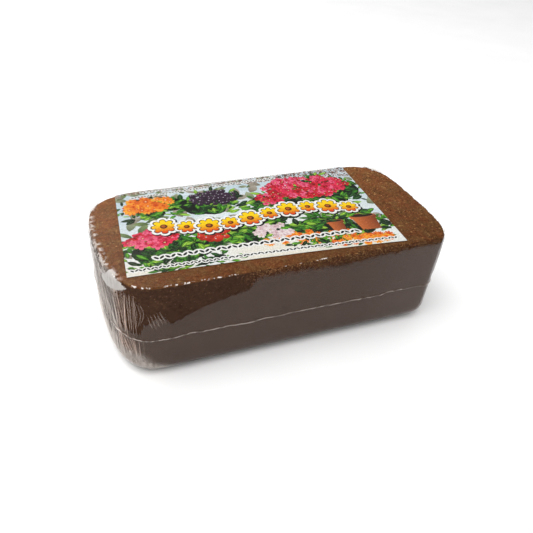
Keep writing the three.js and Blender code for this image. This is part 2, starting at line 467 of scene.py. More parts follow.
def attribute(tree, name, output="Fac"):
    return Value(add_node(tree, "ShaderNodeAttribute", attribute_name=name).outputs[output])


def grain(tree, place, size_mm, detail=2.0):
    """Noise whose features are about a size in mm."""
    inputs = {"Vector": place, "Scale": 1 / (size_mm * MM), "Detail": detail}
    return Value(add_node(tree, "ShaderNodeTexNoise", inputs).outputs["Fac"])


TONE_PLACES = (0, 0.3, 0.52, 0.72, 1)
COIR_TONES = ramp_stops(
    TONE_PLACES, (60, 37, 23), (85, 54, 33), (101, 64, 38), (114, 76, 46), (160, 118, 76)
)
SIDE_TONES = ramp_stops(TONE_PLACES, (46, 30, 22), (54, 36, 27), (62, 43, 32), (69, 48, 36), (92, 66, 49))

# Patches of the top's coir are redder, and others yellower
COIR_TINTS = ((0.38, (1.09, 0.97, 0.94)), (0.62, (0.93, 1.02, 1.01)))

# How pale the top's coir is in the middle, and how much paler for each millimetre to the right and to
# the back
PALER_IN_MIDDLE = 0.985
PALER_TO_RIGHT = -0.0007
PALER_TO_BACK = 0.0053

# Sizes of what varies in the coir: patches, tinted spots, specks and single grains
PATCH_SIZE = 12
TINT_SIZE = 6
SPECK_SIZE = 1.7
CELL_SIZE = 0.7


def coir_material(name, loose):
    """Pith and fibres: grains of mixed browns, darker and denser on the pressed sides. Loose pieces
    take their tone from their own number, and the block from its grain."""
    material, tree, shader, place = new_material(name)
    patches = grain(tree, place, PATCH_SIZE, 3)
    specks = grain(tree, place, SPECK_SIZE, 4)
    inputs = {"Vector": place, "Scale": 1 / (CELL_SIZE * MM)}
    cells = add_node(tree, "ShaderNodeTexVoronoi", inputs).outputs
    cell_tone = add_node(tree, "ShaderNodeSeparateColor", {0: cells["Color"]}).outputs[0]
    own = attribute(tree, "tone") if loose else Value(cell_tone)
    mixed = (own - 0.5) * (0.5 if loose else 0.15) + specks * 0.56 + patches * 0.35
    tone = mixed.mapped(0.14, 0.75)
    right, back, _ = (Value(part) for part in add_node(tree, "ShaderNodeSeparateXYZ", {0: place}).outputs)
    paler = right * (PALER_TO_RIGHT / MM) + back * (PALER_TO_BACK / MM) + PALER_IN_MIDDLE
    tint = ramp(tree, grain(tree, place, TINT_SIZE, 3), COIR_TINTS)
    upper = times(tree, times(tree, ramp(tree, tone, COIR_TONES), paler), tint)
    looks = {
        "Base Color": blended(tree, attribute(tree, "is_top"), ramp(tree, tone, SIDE_TONES), upper),
        "Normal": bumps(tree, Value(cells["Distance"]) + specks, 0.4, 0.2),
        "Roughness": specks.mapped(0.2, 0.8, 0.8, 1.0),
        "Specular IOR Level": 0.04,
    }
    feed(shader, looks)
    return material


def label_material():
    """Printed paper: the print's own colours, with slight unevenness of the ink."""
    material, tree, shader, place = new_material("printed_paper")
    uneven = grain(tree, place, 0.8, 3).mapped(0.3, 0.7, 0.5, 0.78)
    looks = {
        "Base Color": times(tree, attribute(tree, "print", "Color"), uneven),
        "Normal": bumps(tree, grain(tree, place, 1.5, 2), 0.25, 0.2),
        "Roughness": grain(tree, place, 9).mapped(0.3, 0.7, 0.5, 0.7),
        "Specular IOR Level": 0.12,
    }
    feed(shader, looks)
    return material


# The painted sheen on film that stands clear of the coir, a grey layer in place of its reflection of the
# bright surroundings: its colour, and how much it covers
PAINTED_SHEEN_COLOUR = (0.108, 0.076, 0.063)
PAINTED_SHEEN_COVER = 0.5

# Colours of milky film, from the coldest to the warmest
MILK_TONES = ((0.0, (0.8, 0.765, 0.73)), (0.5, (0.8, 0.72, 0.66)), (1.0, (0.8, 0.6, 0.5)))
FILM_IOR = 1.5


def film_material():
    """Clear film: it mirrors at a share of its own Fresnel share, less where it clings to the coir. It
    is milky where it is gathered, creased or welded, and has a painted grey sheen where it stands clear
    of the coir, a layer in place of its reflection of the bright surroundings. The milky share also
    carries painted reflections and painted highlights. These shares come from the mesh: the haze is
    broken into streaks here, and the glints into sparks."""
    material, tree, shader, place = new_material("clear_film")
    names = ("haze", "glint", "contact", "flat", "sheen", "warm")
    haze, glint, contact, flat, sheen, warm = (attribute(tree, name) for name in names)
    streaked = (haze * grain(tree, place, 2, 3).mapped(0.35, 0.65, 0.8, 1.1)).held()
    sparks = (grain(tree, place, 1.1, 2).mapped(0.5, 0.57) * glint).mapped(0.3, 0.5, 0, 0.75)
    milky = streaked.at_least(sparks).at_least(flat)
    # The sheen share is painted sheen: grey film colour in place of a reflection
    covered = (milky + sheen * PAINTED_SHEEN_COVER * (1 - milky)).held()
    ripple = grain(tree, place, 1.4, 3) * contact + grain(tree, place, 14, 1) * 0.5
    normal = bumps(tree, ripple, 0.4, 0.4)
    fresnel = Value(add_node(tree, "ShaderNodeFresnel", {"IOR": FILM_IOR, "Normal": normal}).outputs[0])
    mirror = fresnel * contact.mapped(0, 1, 0.3, 0.04) * (1 - sheen).held()
    total = (mirror + covered).held()
    white = (milky / covered.at_least(0.001)).held()
    looks = {
        "Base Color": blended(tree, white, (*PAINTED_SHEEN_COLOUR, 1), ramp(tree, warm, MILK_TONES)),
        "Normal": normal,
        "Alpha": total,
        "Metallic": (mirror / total.at_least(0.001)).held(),
        "Roughness": haze.mapped(0, 0.4, 0.25, 0.4),
        "Specular IOR Level": 0.3,
    }
    feed(shader, looks)
    return material


FLOOR_TONES = ((0.0, (0.86, 0.86, 0.86)), (1.0, (0.89, 0.89, 0.89)))


def floor_material():
    material, tree, shader, place = new_material("pale_floor")
    shade = grain(tree, place, 60, 2).mapped(0.3, 0.7)
    feed(shader, {"Base Color": ramp(tree, shade, FLOOR_TONES), "Roughness": 0.7})
    return material


# The coir

COIR_COLUMNS = 640
GRAIN_DEPTH = 0.12
CRUMBLE_DEPTH = 0.5
CRUMBS_ON_TOP = 9000
CRUMBS_ON_BAND = 9000
CRUMBS_ON_SIDES = 3000
FLECKS = 900
FIBRES = 700
FIBRE_RADII = (0.04, 0.08)

# Rows of the mesh over the base, round its edge, up the side, round the upper edge and over the top, and
# rows of the side's crumbly band
BASE_FLAT_ROWS = 14
BASE_EDGE_ROWS = 15
SIDE_ROWS = 48
EDGE_ROWS = 9
FLAT_ROWS = 46
BAND_ROWS = 7


def fresh(points):
    """Where the band below the upper edge is crumbly, from 0 to 1: not at the front's left part."""
    return 1 - np.clip((-points[..., 0] - 22) / 14, 0, 1) * (points[..., 1] < 0)


def coir_grid():
    """The block's surface as points by rows and columns, and how much each has the top's colour: all of
    it on the top, and some on the worn band below the upper edge, but for the front's left part."""
    loop = outline(COIR_COLUMNS)
    stations = (
        base_stations(BASE_FLAT_ROWS, BASE_EDGE_ROWS)
        + side_stations(np.linspace(BASE_RADIUS, HEIGHT - TOP_RADIUS, SIDE_ROWS)[1:-1])
        + top_stations(FLAT_ROWS, EDGE_ROWS)
    )
    smooth = surface(loop, stations)
    _, z, side, up, to_spine = station_columns(stations)
    edge = np.clip(4 * side * up * (to_spine == 0), 0, 1)
    bites = np.clip(layered_noise(smooth, 3, 11) * 2.4 - 0.9, 0, 1)
    depth = COIR_DEPTH + GRAIN_DEPTH * swing(smooth, 1.6, 3) * 2
    depth = depth + CRUMBLE_DEPTH * edge * bites + scoop(smooth) + flattened(loop, smooth)
    ragged = 1.2 * swing(smooth, 2.5, 12)
    above = np.clip((z + ragged - TOP_TONE_HEIGHT) / 0.7, 0, 1)
    band = 0.55 * np.clip((z + 3 * ragged - BAND_TONE_HEIGHT) / 4, 0, 1)
    return surface(loop, stations, depth), np.maximum(above, band * fresh(smooth))


def lumps(points, normals, sizes, rng):
    """Low rough lumps, one at each point, as points and triangles."""
    tips = np.array([(1, 0, 0), (0, 1, 0), (-1, 0, 0), (0, -1, 0), (0, 0, 1), (0, 0, -1)], float)
    upper = [(0, 1, 4), (1, 2, 4), (2, 3, 4), (3, 0, 4)]
    sides = np.array(upper + [(1, 0, 5), (2, 1, 5), (3, 2, 5), (0, 3, 5)])
    count = len(points)
    across = unit(np.cross(normals, rng.normal(size=(count, 3))))
    along = np.cross(normals, across)
    body = tips * rng.uniform(0.6, 1.25, (count, 6, 1))
    body = body * np.stack([sizes, sizes * rng.uniform(0.4, 0.9, count), sizes * 0.4], axis=1)[:, None]
    return points[:, None] + body @ np.stack([across, along, normals], axis=1), repeated(sides, 6, count)


def pick_cells(rng, weight, count):
    """Random rows and columns of a grid, more where the weight is higher."""
    flat = weight.ravel()
    return np.divmod(rng.choice(len(flat), count, p=flat / flat.sum()), weight.shape[1])


def scatter(name, coir, chance, rows, count, sizes, seed, contrast):
    """Lumps scattered over a run of rows, more where the chance is higher, with tones of a contrast."""
    grid, normals, is_top, material = coir
    rng = np.random.default_rng(seed)
    row, column = pick_cells(rng, (chance * cell_area(grid))[slice(*rows)], count)
    row = np.minimum(rows[0] + row + rng.random(count), len(grid) - 1.01)
    column = column + rng.random(count)
    size = sizes[0] + (sizes[1] - sizes[0]) * rng.random(count) ** 2
    normal = on_surface(normals, row, column)
    points, faces = lumps(on_surface(grid, row, column), normal, size, rng)
    made = make_object(name, points, faces, material, smooth=False)
    tone = 0.5 + contrast * (rng.random(count) - 0.5)
    topness = on_surface(is_top[..., None], row, column)[..., 0]
    set_numbers(made, tone=np.repeat(tone, 6), is_top=np.repeat(topness, 6))


def cell_area(grid):
    """About how much surface each grid cell has, for the rows and columns as given."""
    up = np.linalg.norm(np.diff(grid, axis=0, append=grid[-1:]), axis=-1)
    along = np.linalg.norm(np.roll(grid, -1, axis=1) - grid, axis=-1)
    return up * along


def bare_of_label(grid):
    """1 where the coir isn't under the label, and 0 where it is."""
    x, y, z = np.moveaxis(grid, -1, 0)
    run, fall = LABEL_FRONT_RIGHT - LABEL_FRONT_LEFT
    behind = y - LABEL_FRONT_LEFT[1] - (x - LABEL_FRONT_LEFT[0]) * fall / run
    right_of = x - LABEL_FRONT_LEFT[0] - LABEL_LEFT_SLANT * behind
    left_of = LABEL_FRONT_RIGHT[0] + LABEL_RIGHT_SLANT * behind - x
    margin = 1.2
    covered = (behind > margin) & (right_of > margin) & (left_of > margin) & (z > HEIGHT - TOP_RADIUS)
    return 1.0 - covered


def fibres(coir, chance, count, seed):
    """Short curved fibres that lie on the coir, each a thin three-sided rod."""
    grid, normals, is_top, material = coir
    rng = np.random.default_rng(seed)
    steps, around = 6, 3
    cell = pick_cells(rng, chance * cell_area(grid) * (0.3 + is_top), count)
    travel = rng.uniform(2, 9, count)[:, None] * np.linspace(-0.5, 0.5, steps + 1)
    heading = rng.uniform(0, 2 * math.pi, count)[:, None]
    heading = heading + rng.normal(0, 0.7, count)[:, None] * np.linspace(-1, 1, steps + 1)
    row = np.clip(cell[0][:, None] + travel * np.sin(heading), 1, len(grid) - 2)
    column = cell[1][:, None] + travel * np.cos(heading) * 1.15
    middle = on_surface(grid, row, column)
    normal = unit(on_surface(normals, row, column))
    sideways = unit(np.cross(np.gradient(middle, axis=1), normal))
    thick = rng.uniform(*FIBRE_RADII, (count, 1)) * (0.4 + np.sin(np.linspace(0.3, 2.8, steps + 1)))
    ring = []
    for turn in np.arange(around) * 2 * math.pi / around:
        offset = math.cos(turn) * sideways + math.sin(turn) * normal
        ring.append(middle + 0.1 * normal + offset * thick[..., None])
    each = (steps + 1) * around
    faces = repeated(grid_faces(steps + 1, around), each, count)
    made = make_object("coir_fibres", np.stack(ring, axis=2), faces, material)
    tone = 0.45 + 0.55 * rng.random(count)
    set_numbers(made, tone=np.repeat(tone, each), is_top=np.repeat(is_top[cell], each))


def build_coir():
    grid, is_top = coir_grid()
    pressed = coir_material("coir_pressed", loose=False)
    block = make_object("pressed_coir", grid, grid_faces(*grid.shape[:2]), pressed)
    set_numbers(block, is_top=is_top)
    weld(block)
    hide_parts("coir_block")
    coir = (grid, outward(grid), is_top, coir_material("coir_loose", loose=True))
    bare = bare_of_label(grid)
    crumbly = np.clip(-grid[..., 1] / 40, 0.03, 1) * (0.08 + 0.92 * fresh(grid))
    at_right = np.clip((grid[..., 0] - 40) / 40, 0.12, 1)
    end = len(is_top) - 1
    top = (end - FLAT_ROWS, end)
    band = (top[0] - EDGE_ROWS - BAND_ROWS, top[0])
    sides = (BASE_FLAT_ROWS, band[0])
    scatter("coir_crumbs_top", coir, bare, top, CRUMBS_ON_TOP, (0.12, 0.36), 5, 1.0)
    scatter("coir_crumbs_band", coir, bare * crumbly, band, CRUMBS_ON_BAND, (0.2, 0.6), 8, 1.9)
    scatter("coir_crumbs_sides", coir, bare, sides, CRUMBS_ON_SIDES, (0.12, 0.3), 6, 1.0)
    scatter("coir_flecks", coir, bare * at_right, top, FLECKS, (0.25, 0.85), 9, 1.7)
    fibres(coir, bare, FIBRES, 7)


# The label's print: a garden in flower, as shapes in mm from the label's front left corner

PAPER = linear(232, 236, 234)
SHADE = linear(16, 26, 14)
STONES = (linear(196, 172, 166), linear(150, 118, 108), linear(106, 78, 66), linear(60, 44, 40))
GREENS = pairs(
    (16, 46, 14, 58, 128, 30),
    (28, 78, 20, 96, 166, 38),
    (40, 96, 26, 150, 196, 62),
    (12, 30, 14, 36, 84, 30),
    (8, 20, 10, 26, 58, 22),
)
BLURRED = pairs((66, 88, 50, 132, 150, 98), (96, 106, 78, 168, 176, 142), (120, 112, 96, 178, 170, 156))
REDS = pairs((228, 50, 84, 160, 16, 44), (206, 30, 44, 128, 10, 24), (238, 104, 136, 198, 34, 76))
ORANGES = pairs((248, 166, 52, 222, 88, 18), (236, 124, 34, 196, 62, 14))
PINKS = pairs((226, 202, 204, 196, 160, 166), (236, 222, 220, 206, 178, 180))
DARK_FRUIT, RED_FRUIT = pairs((26, 18, 30, 72, 46, 70), (150, 20, 20, 226, 70, 44))


def placed(flat, place, turn):
    """Flat points turned and put at a place."""
    c, s = math.cos(turn), math.sin(turn)
    return np.asarray(place) + np.asarray(flat) @ np.array([(c, s), (-s, c)])


def painted(polygon, colour, other=None, start=(0, 0), end=(0, 1)):
    """A shape of the print: its outline, and its colour at a start and at an end."""
    return polygon, colour, colour if other is None else other, np.asarray(start), np.asarray(end)


def ellipse(centre, radius, squash=1.0, turn=0.0, sides=14):
    """A polygon round an ellipse."""
    angle = np.linspace(0, 2 * math.pi, sides, endpoint=False)
    flat = np.column_stack([radius * np.cos(angle), radius * squash * np.sin(angle)])
    return placed(flat, centre, turn)


def box(left, front, right, back):
    return np.array([(left, front), (right, front), (right, back), (left, back)])


def petals(centre, radius, count, turn, hollow=0.55):
    """The outline of a flower with a number of round petals."""
    angle = np.linspace(0, 2 * math.pi, count * 6, endpoint=False)
    reach = radius * (hollow + (1 - hollow) * np.abs(np.cos(count * angle / 2)) ** 0.6)
    return placed(np.column_stack([reach * np.cos(angle), reach * np.sin(angle)]), centre, turn)


def leaf(start, length, width, turn, tones):
    """A pointed leaf that grows from a point, dark at its stalk, with a pale rib."""
    dark, light = tones
    share = np.linspace(0, 1, 6)
    half = width / 2 * np.sin(math.pi * share) ** 0.8
    lower = np.column_stack([length * share, -half])
    upper = np.column_stack([length * share, half])[-2:0:-1]
    blade = placed(np.concatenate([lower, upper]), start, turn)
    rib = placed(np.array([(0.08, 0), (0.5, -0.035), (0.92, 0), (0.5, 0.035)]) * length, start, turn)
    pale = tuple(np.minimum(1, np.array(light) * 1.5 + 0.03))
    return [painted(blade, dark, light, start, placed((length, 0), start, turn)), painted(rib, pale)]


def inside_oval(rng, centre, spread):
    """A random place inside an oval, more often near its middle."""
    angle, reach = rng.uniform(0, 2 * math.pi), rng.random() ** 0.6
    return np.array(centre) + np.array(spread) * reach * (math.cos(angle), math.sin(angle))


def many(count, make, *details):
    """The shapes of a number of things of one kind."""
    return [shape for _ in range(count) for shape in make(*details)]


def near_leaf(rng, centre, spread, lengths):
    """A leaf somewhere in an oval."""
    length = rng.uniform(*lengths)
    turn, width = rng.uniform(-0.7, math.pi + 0.7), length * rng.uniform(0.28, 0.5)
    tones = GREENS[rng.integers(len(GREENS))]
    return leaf(inside_oval(rng, centre, spread), length, width, turn, tones)


def far_leaf(rng, low, high, lengths):
    """A dull leaf somewhere in a rectangle, as of plants far behind."""
    length, turn = rng.uniform(*lengths), rng.uniform(0, math.pi)
    tones = BLURRED[rng.integers(len(BLURRED))]
    return leaf(rng.uniform(low, high), length, length * rng.uniform(0.3, 0.6), turn, tones)[:1]


def stone(rng, low, high, radii):
    """A small stone somewhere in a rectangle."""
    place, squash, turn = rng.uniform(low, high), rng.uniform(0.5, 1), rng.uniform(0, math.pi)
    oval = ellipse(place, rng.uniform(*radii), squash, turn, sides=6)
    return [painted(oval, STONES[rng.integers(len(STONES))])]


def dark_oval(rng, centre, spread):
    """A dark oval somewhere behind a bush."""
    at = inside_oval(rng, centre, np.array(spread) * 0.6)
    size = rng.uniform(0.35, 0.6) * min(spread)
    return [painted(ellipse(at, size * 1.5, 0.7, rng.uniform(-0.4, 0.4)), SHADE)]


def bush(rng, centre, spread, count, lengths):
    """Leaves over dark shade, so that nothing shows between them."""
    return many(7, dark_oval, rng, centre, spread) + many(count, near_leaf, rng, centre, spread, lengths)


def blossom(rng, centre, spread, radii, tones, petal_count=5):
    """An open flower, shaded across, with a darker throat and now and then a pale eye."""
    place = inside_oval(rng, centre, spread)
    radius, turn = rng.uniform(*radii), rng.uniform(0, math.pi)
    light, dark = tones[rng.integers(len(tones))]
    away = place + radius * np.array((math.cos(turn), math.sin(turn)))
    face = painted(petals(place, radius, petal_count, turn), light, dark, place, away)
    throat = painted(petals(place, radius * 0.45, petal_count, turn + 0.6, 0.4), dark)
    eye = painted(ellipse(place, radius * 0.16, sides=6), linear(236, 206, 150))
    return [face, throat, eye] if rng.random() < 0.35 else [face, throat]


def fruit(rng, centre, spread, radii, tones):
    """A round fruit with a small highlight."""
    place = inside_oval(rng, centre, spread)
    radius = rng.uniform(*radii)
    skin = painted(ellipse(place, radius, sides=12), *tones, place - (0, radius), place + (0, radius))
    shine = ellipse(place + radius * np.array((-0.3, 0.35)), radius * 0.2, sides=6)
    return [skin, painted(shine, linear(196, 196, 202))]


def clay_pot(centre, width, height):
    """A plain clay pot with dark soil, seen a little from above."""
    x, y = centre
    half, foot, rim = width / 2, width * 0.34, height * 0.22
    left, right = (x - half, y), (x + half, y)
    lip = half * 0.9
    body = np.array([(x - foot, y - height), (x + foot, y - height), (x + lip, y), (x - lip, y)])
    clay, shade = linear(206, 112, 58), linear(116, 52, 28)
    return [
        painted(body, clay, shade, left, right),
        painted(box(x - half, y - rim, x + half, y), clay, shade, left, right),
        painted(ellipse((x, y), half, 0.26), linear(160, 88, 52)),
        painted(ellipse((x, y), half * 0.86, 0.22), linear(40, 26, 18)),
    ]


def daisy(centre, radius, turn):
    """A flower with a dark line, a white line and a petalled face that reddens towards the front."""
    yellow, red = linear(255, 214, 16), linear(222, 56, 20)
    front, back = np.subtract(centre, (0, radius * 0.8)), np.add(centre, (0, radius * 0.3))
    return [
        painted(petals(np.add(centre, (0.5, -0.6)), radius * 1.34, 8, turn, 0.84), linear(20, 22, 18)),
        painted(petals(centre, radius * 1.26, 8, turn, 0.82), linear(246, 246, 242)),
        painted(petals(centre, radius * 1.04, 8, turn, 0.7), linear(26, 20, 14)),
        painted(petals(centre, radius * 0.95, 8, turn, 0.64), red, yellow, front, back),
        painted(ellipse(centre, radius * 0.3), linear(96, 40, 14)),
        painted(ellipse(np.add(centre, (-0.2, 0.3)), radius * 0.17), linear(178, 96, 26)),
    ]


def sprigs(rng, start, end, gap, size):
    """A row of small dark leaves, each on a white one, from one place to another."""
    start, end = np.array(start), np.array(end)
    count = int(np.linalg.norm(end - start) / gap)
    white, dark = linear(240, 240, 236), linear(24, 26, 24)
    backs, fronts = [], []
    for step in range(count):
        place = start + (end - start) * step / count + rng.normal(0, 0.1, 2)
        turn = 0.8 if step % 2 else -0.8
        backs.append(painted(ellipse(place, size * 1.75, 0.62, turn, 10), white))
        fronts.append(painted(ellipse(place, size, 0.46, turn, 8), dark))
    return backs + fronts


def cloud(rng, low, high):
    """A pale patch behind everything."""
    tint = np.array(linear(206, 218, 224)) * rng.uniform(0.8, 1.15)
    oval = ellipse(rng.uniform(low, high), rng.uniform(4, 12), rng.uniform(0.3, 0.6))
    return [painted(oval, tuple(np.minimum(tint, 0.95)))]


def garland(count):
    """A row of daisies in a gentle wave."""
    shapes = []
    for step in range(count):
        centre = (24 + 12.6 * step, 41 - 4.5 * math.sin(2 * math.pi * step / 9))
        shapes += daisy(centre, 5.8 if step % 2 else 7.2, 0.3 * step)
    return shapes


def garden():
    """All the shapes of the print. Later ones cover earlier ones."""
    rng = np.random.default_rng(21)
    return [
        *many(40, cloud, rng, (0, 20), (LABEL_LENGTH, 92)),
        *many(230, far_leaf, rng, (0, 14), (LABEL_LENGTH, 80), (5, 12)),
        *many(3200, stone, rng, (0, 79), (LABEL_LENGTH, LABEL_WIDTH), (0.3, 0.9)),
        *sprigs(rng, (10, 75), (104, 83), 1.9, 1.0),
        *sprigs(rng, (16, 80), (150, 91), 1.9, 0.9),
        *bush(rng, (22, 61), (22, 12), 110, (4, 9)),
        *many(34, blossom, rng, (18, 65), (14, 8), (2.6, 4.4), ORANGES, 8),
        *bush(rng, (58, 60), (20, 13), 110, (4, 8)),
        *many(130, fruit, rng, (58, 66), (15, 8), (1.2, 2.2), DARK_FRUIT),
        *bush(rng, (92, 50), (16, 14), 90, (5, 10)),
        *bush(rng, (128, 60), (28, 22), 190, (4, 9)),
        *many(190, blossom, rng, (120, 69), (28, 13), (1.8, 3.4), REDS),
        *many(22, blossom, rng, (92, 58), (8, 6), (1.8, 3.0), REDS),
        *bush(rng, (70, 26), (30, 12), 130, (4, 9)),
        *bush(rng, (124, 22), (34, 13), 180, (4, 9)),
        *many(60, blossom, rng, (104, 14), (30, 6), (1.4, 2.6), ORANGES, 8),
        *clay_pot((141, 30), 17, 15),
        *clay_pot((122, 27), 11, 10),
        *many(26, near_leaf, rng, (141, 35), (8, 5), (4, 8)),
        *many(16, near_leaf, rng, (122, 31), (6, 4), (3, 6)),
        *many(30, blossom, rng, (84, 24), (11, 6), (1.6, 3.0), PINKS),
        *bush(rng, (26, 20), (30, 16), 230, (4, 9)),
        *many(50, blossom, rng, (16, 30), (13, 8), (2.0, 3.8), REDS),
        *many(26, fruit, rng, (50, 27), (9, 5), (1.6, 2.6), RED_FRUIT),
        *garland(10),
        *bush(rng, (30, 5), (34, 5), 90, (3, 7)),
        *bush(rng, (118, 7), (30, 5), 90, (3, 6)),
        *many(46, blossom, rng, (132, 6), (22, 4.5), (1.6, 3.0), ORANGES, 8),
        *sprigs(rng, (16, 12.5), (134, 15), 3.0, 1.75),
        *sprigs(rng, (3, 4.4), (152, 4.4), 2.0, 1.2),
    ]


def ground_colour(place):
    """The pale ground: blue towards the back, white in the middle and warm at the front."""
    at = np.column_stack([place, np.zeros(len(place))])
    back = np.clip((place[:, 1] - 30) / 50 + 0.8 * swing(at, 26, 61, 1), 0, 1)[:, None]
    warm = np.clip(0.5 - place[:, 1] / 50 + swing(at, 22, 62, 1), 0, 1)[:, None] * 0.6
    colour = np.array(PAPER) * (1 - back) + np.array(linear(196, 214, 222)) * back
    return colour * (1 - warm) + np.array(linear(234, 220, 190)) * warm


def back_at(x, inset):
    """How far behind its middle line the outline's back lies, when it is shrunk by an inset."""
    right, left = CORNERS[0], CORNERS[1]
    depth = np.where(x < 0, left[2], right[2])
    power = np.where(x < 0, left[3], right[3])
    along = np.maximum(0, np.abs(x) - (LENGTH / 2 - depth)) / (depth - inset)
    return (WIDTH / 2 - inset) * (1 - along**power) ** (1 / power)


def lay_label(place, depth):
    """Where places on the flat label lie on the block: the top, round the back edge, down the back."""
    share = place[:, 0] / LABEL_LENGTH
    travel = place[:, 1]
    front = LABEL_FRONT_LEFT + (LABEL_FRONT_RIGHT - LABEL_FRONT_LEFT) * share[:, None]
    front[:, 1] += LABEL_BOW * 4 * share * (1 - share)
    slant = LABEL_LEFT_SLANT + (LABEL_RIGHT_SLANT - LABEL_LEFT_SLANT) * share
    flat = WIDTH / 2 - front[:, 1]
    for _ in range(3):
        flat = back_at(front[:, 0] + slant * flat, TOP_RADIUS) - front[:, 1]
    x = front[:, 0] + slant * travel
    run = back_at(x, depth) - back_at(x, TOP_RADIUS)
    around = math.pi / 2 * np.sqrt((run**2 + (TOP_RADIUS - depth) ** 2) / 2)
    turn = np.clip((travel - flat) / around, 0, 1) * math.pi / 2
    drop = np.maximum(0, travel - flat - around)
    z = HEIGHT - TOP_RADIUS + (TOP_RADIUS - depth) * np.cos(turn) - drop
    inset = TOP_RADIUS - (TOP_RADIUS - depth) * np.sin(turn) + lean(z) * (drop > 0)
    y = np.where(travel <= flat, front[:, 1] + travel, back_at(x, inset))
    return np.column_stack([x, y, z])


def label_lines():
    """Lines over the flat label that let it bend over the edge and ripple a little."""
    across = [*range(6, 76, 6), *np.arange(76.5, LABEL_WIDTH, 0.9)]
    along = np.linspace(0, LABEL_LENGTH, 40)[1:-1]
    return [((0, v), (LABEL_LENGTH, v)) for v in across] + [((u, 0), (u, LABEL_WIDTH)) for u in along]


# How far a point may lie off a line that is taken as straight
STRAIGHT = 0.01


def cut_mosaic(polygons, lines):
    """Cuts the first polygon along the others and along the lines. Gives the flat points, the triangles,
    and the last polygon that covers each one."""
    points, loops, edges = [], [], []
    for polygon in polygons:
        loops.append(list(range(len(points), len(points) + len(polygon))))
        points += [Vector(p) for p in polygon]
    for ends in lines:
        edges.append((len(points), len(points) + 1))
        points += [Vector(p) for p in ends]
    flat, _, faces, _, _, owners = delaunay_2d_cdt(points, edges, loops, 1, 1e-4, True)
    kept = [index for index, owner in enumerate(owners) if 0 in owner]
    used, faces = np.unique(np.array([faces[i] for i in kept]), return_inverse=True)
    flat = np.array([tuple(flat[i]) for i in used])
    return flat, faces.reshape(-1, 3), np.array([max(owners[i]) for i in kept])


def seen_lines(flat, faces, top):
    """The lines between triangles of different shapes. A point is left out where the line runs straight
    on through it."""
    ends = np.sort(faces[:, [0, 1, 1, 2, 2, 0]].reshape(-1, 2), axis=1)
    order = np.lexsort(ends.T)
    ends, shape = ends[order], np.repeat(top, 3)[order]
    between = (ends[1:] == ends[:-1]).all(axis=1) & (shape[1:] != shape[:-1])
    joined = {point: set() for point in range(len(flat))}
    for one, other in ends[1:][between].tolist():
        joined[one].add(other)
        joined[other].add(one)
    for point, others in joined.items():
        if len(others) != 2:
            continue
        one, other = others
        along, away = flat[other] - flat[one], flat[point] - flat[one]
        off_line = abs(along[0] * away[1] - along[1] * away[0])
        if off_line <= STRAIGHT * math.hypot(*along) and other not in joined[one]:
            joined[one] ^= {point, other}
            joined[other] ^= {point, one}
            others.clear()
    return [(flat[one], flat[other]) for one in joined for other in joined[one] if one < other]


def seen_mosaic(shapes, lines):
    """The mosaic of the shapes, cut only along the lines and along the outlines that show."""
    flat, faces, top = cut_mosaic([shape[0] for shape in shapes], [])
    whole = BVHTree.FromPolygons(np.insert(flat, 2, 0, axis=1).tolist(), faces.tolist())
    flat, faces, _ = cut_mosaic([shapes[0][0]], lines + seen_lines(flat, faces, top))
    middles = flat[faces].mean(axis=1)
    return flat, faces, top[[whole.find_nearest((x, y, 0))[2] for x, y in middles]]


def build_label():
    shapes = [painted(box(0, 0, LABEL_LENGTH, LABEL_WIDTH), PAPER), *garden()]
    flat, faces, top = seen_mosaic(shapes, label_lines())
    laid = lay_label(flat, LABEL_DEPTH)
    laid[:, 2] += LABEL_RIPPLE * swing(laid, 9, 33, 1) * (flat[:, 1] < LABEL_RIPPLE_END)
    made = make_object("printed_label", laid, faces, label_material())
    corner = flat[faces]
    low, high, start, end = (np.array([shape[i] for shape in shapes])[top][:, None] for i in (1, 2, 3, 4))
    span = end - start
    share = ((corner - start) * span).sum(-1) / (span**2).sum(-1)
    colour = low + (high - low) * np.clip(share, 0, 1)[..., None]
    colour = np.where((top == 0)[:, None, None], ground_colour(flat)[faces], colour)
    layer = made.data.color_attributes.new("print", "FLOAT_COLOR", "CORNER")
    layer.data.foreach_set("color", np.insert(colour, 3, 1, axis=-1).ravel())
    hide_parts("label_sheet")


# The film

FILM_COLUMNS = 1250

# For each corner, how much closer the mesh's columns lie there, and its share of the creases
CROWDING = (3, 3, 8, 2)
PLEATED = (0.7, 0.9, 1, 0.3)
CROWDING_REACH = 26

# How many raised and sunk creases a corner has at most, their widths, and the share above the weld
PLEATS_PER_CORNER = 56
PLEAT_WIDTHS = (0.15, 0.42)
GAPS_PER_CORNER = 36
GAP_WIDTHS = (0.2, 0.55)
ABOVE_WELD = 0.62

# How far the creases stand out or lie in, and how uneven slack and clinging film are
PLEAT_RELIEF = 0.28
STRONG_RELIEF = 0.4
SHORT_RELIEF = 0.12
GAP_RELIEF = 0.12
SLACK_RELIEF = 0.2
CRINKLE_RELIEF = 0.2

# How milky the film is in its pleats, at the lip and in short creases, and how much milky white is
# painted where it is
# # stretched flat (a painted reflection), in spots along the left end's upper edge (painted highlights)
# and at the top's left
# # (a painted sheen)
PLEAT_HAZE = 0.4
LIP_HAZE = 0.54
SHORT_HAZE = 0.28
PATCH_REFLECTION_HAZE = 0.48
GLINT_SPOT_HAZE = 0.42
TOP_LEFT_SHEEN_HAZE = 0.024

# The weld's waves up and down: their height, length, seed and layers
WELD_WAVES = ((1.2, 16, 54, 1), (1.3, 3.4, 58, 3), (0.5, 1.8, 59, 1))

# How far the weld's lip reaches out, and half its height
LIP_REACH = 0.35
LIP_HALF = 0.22

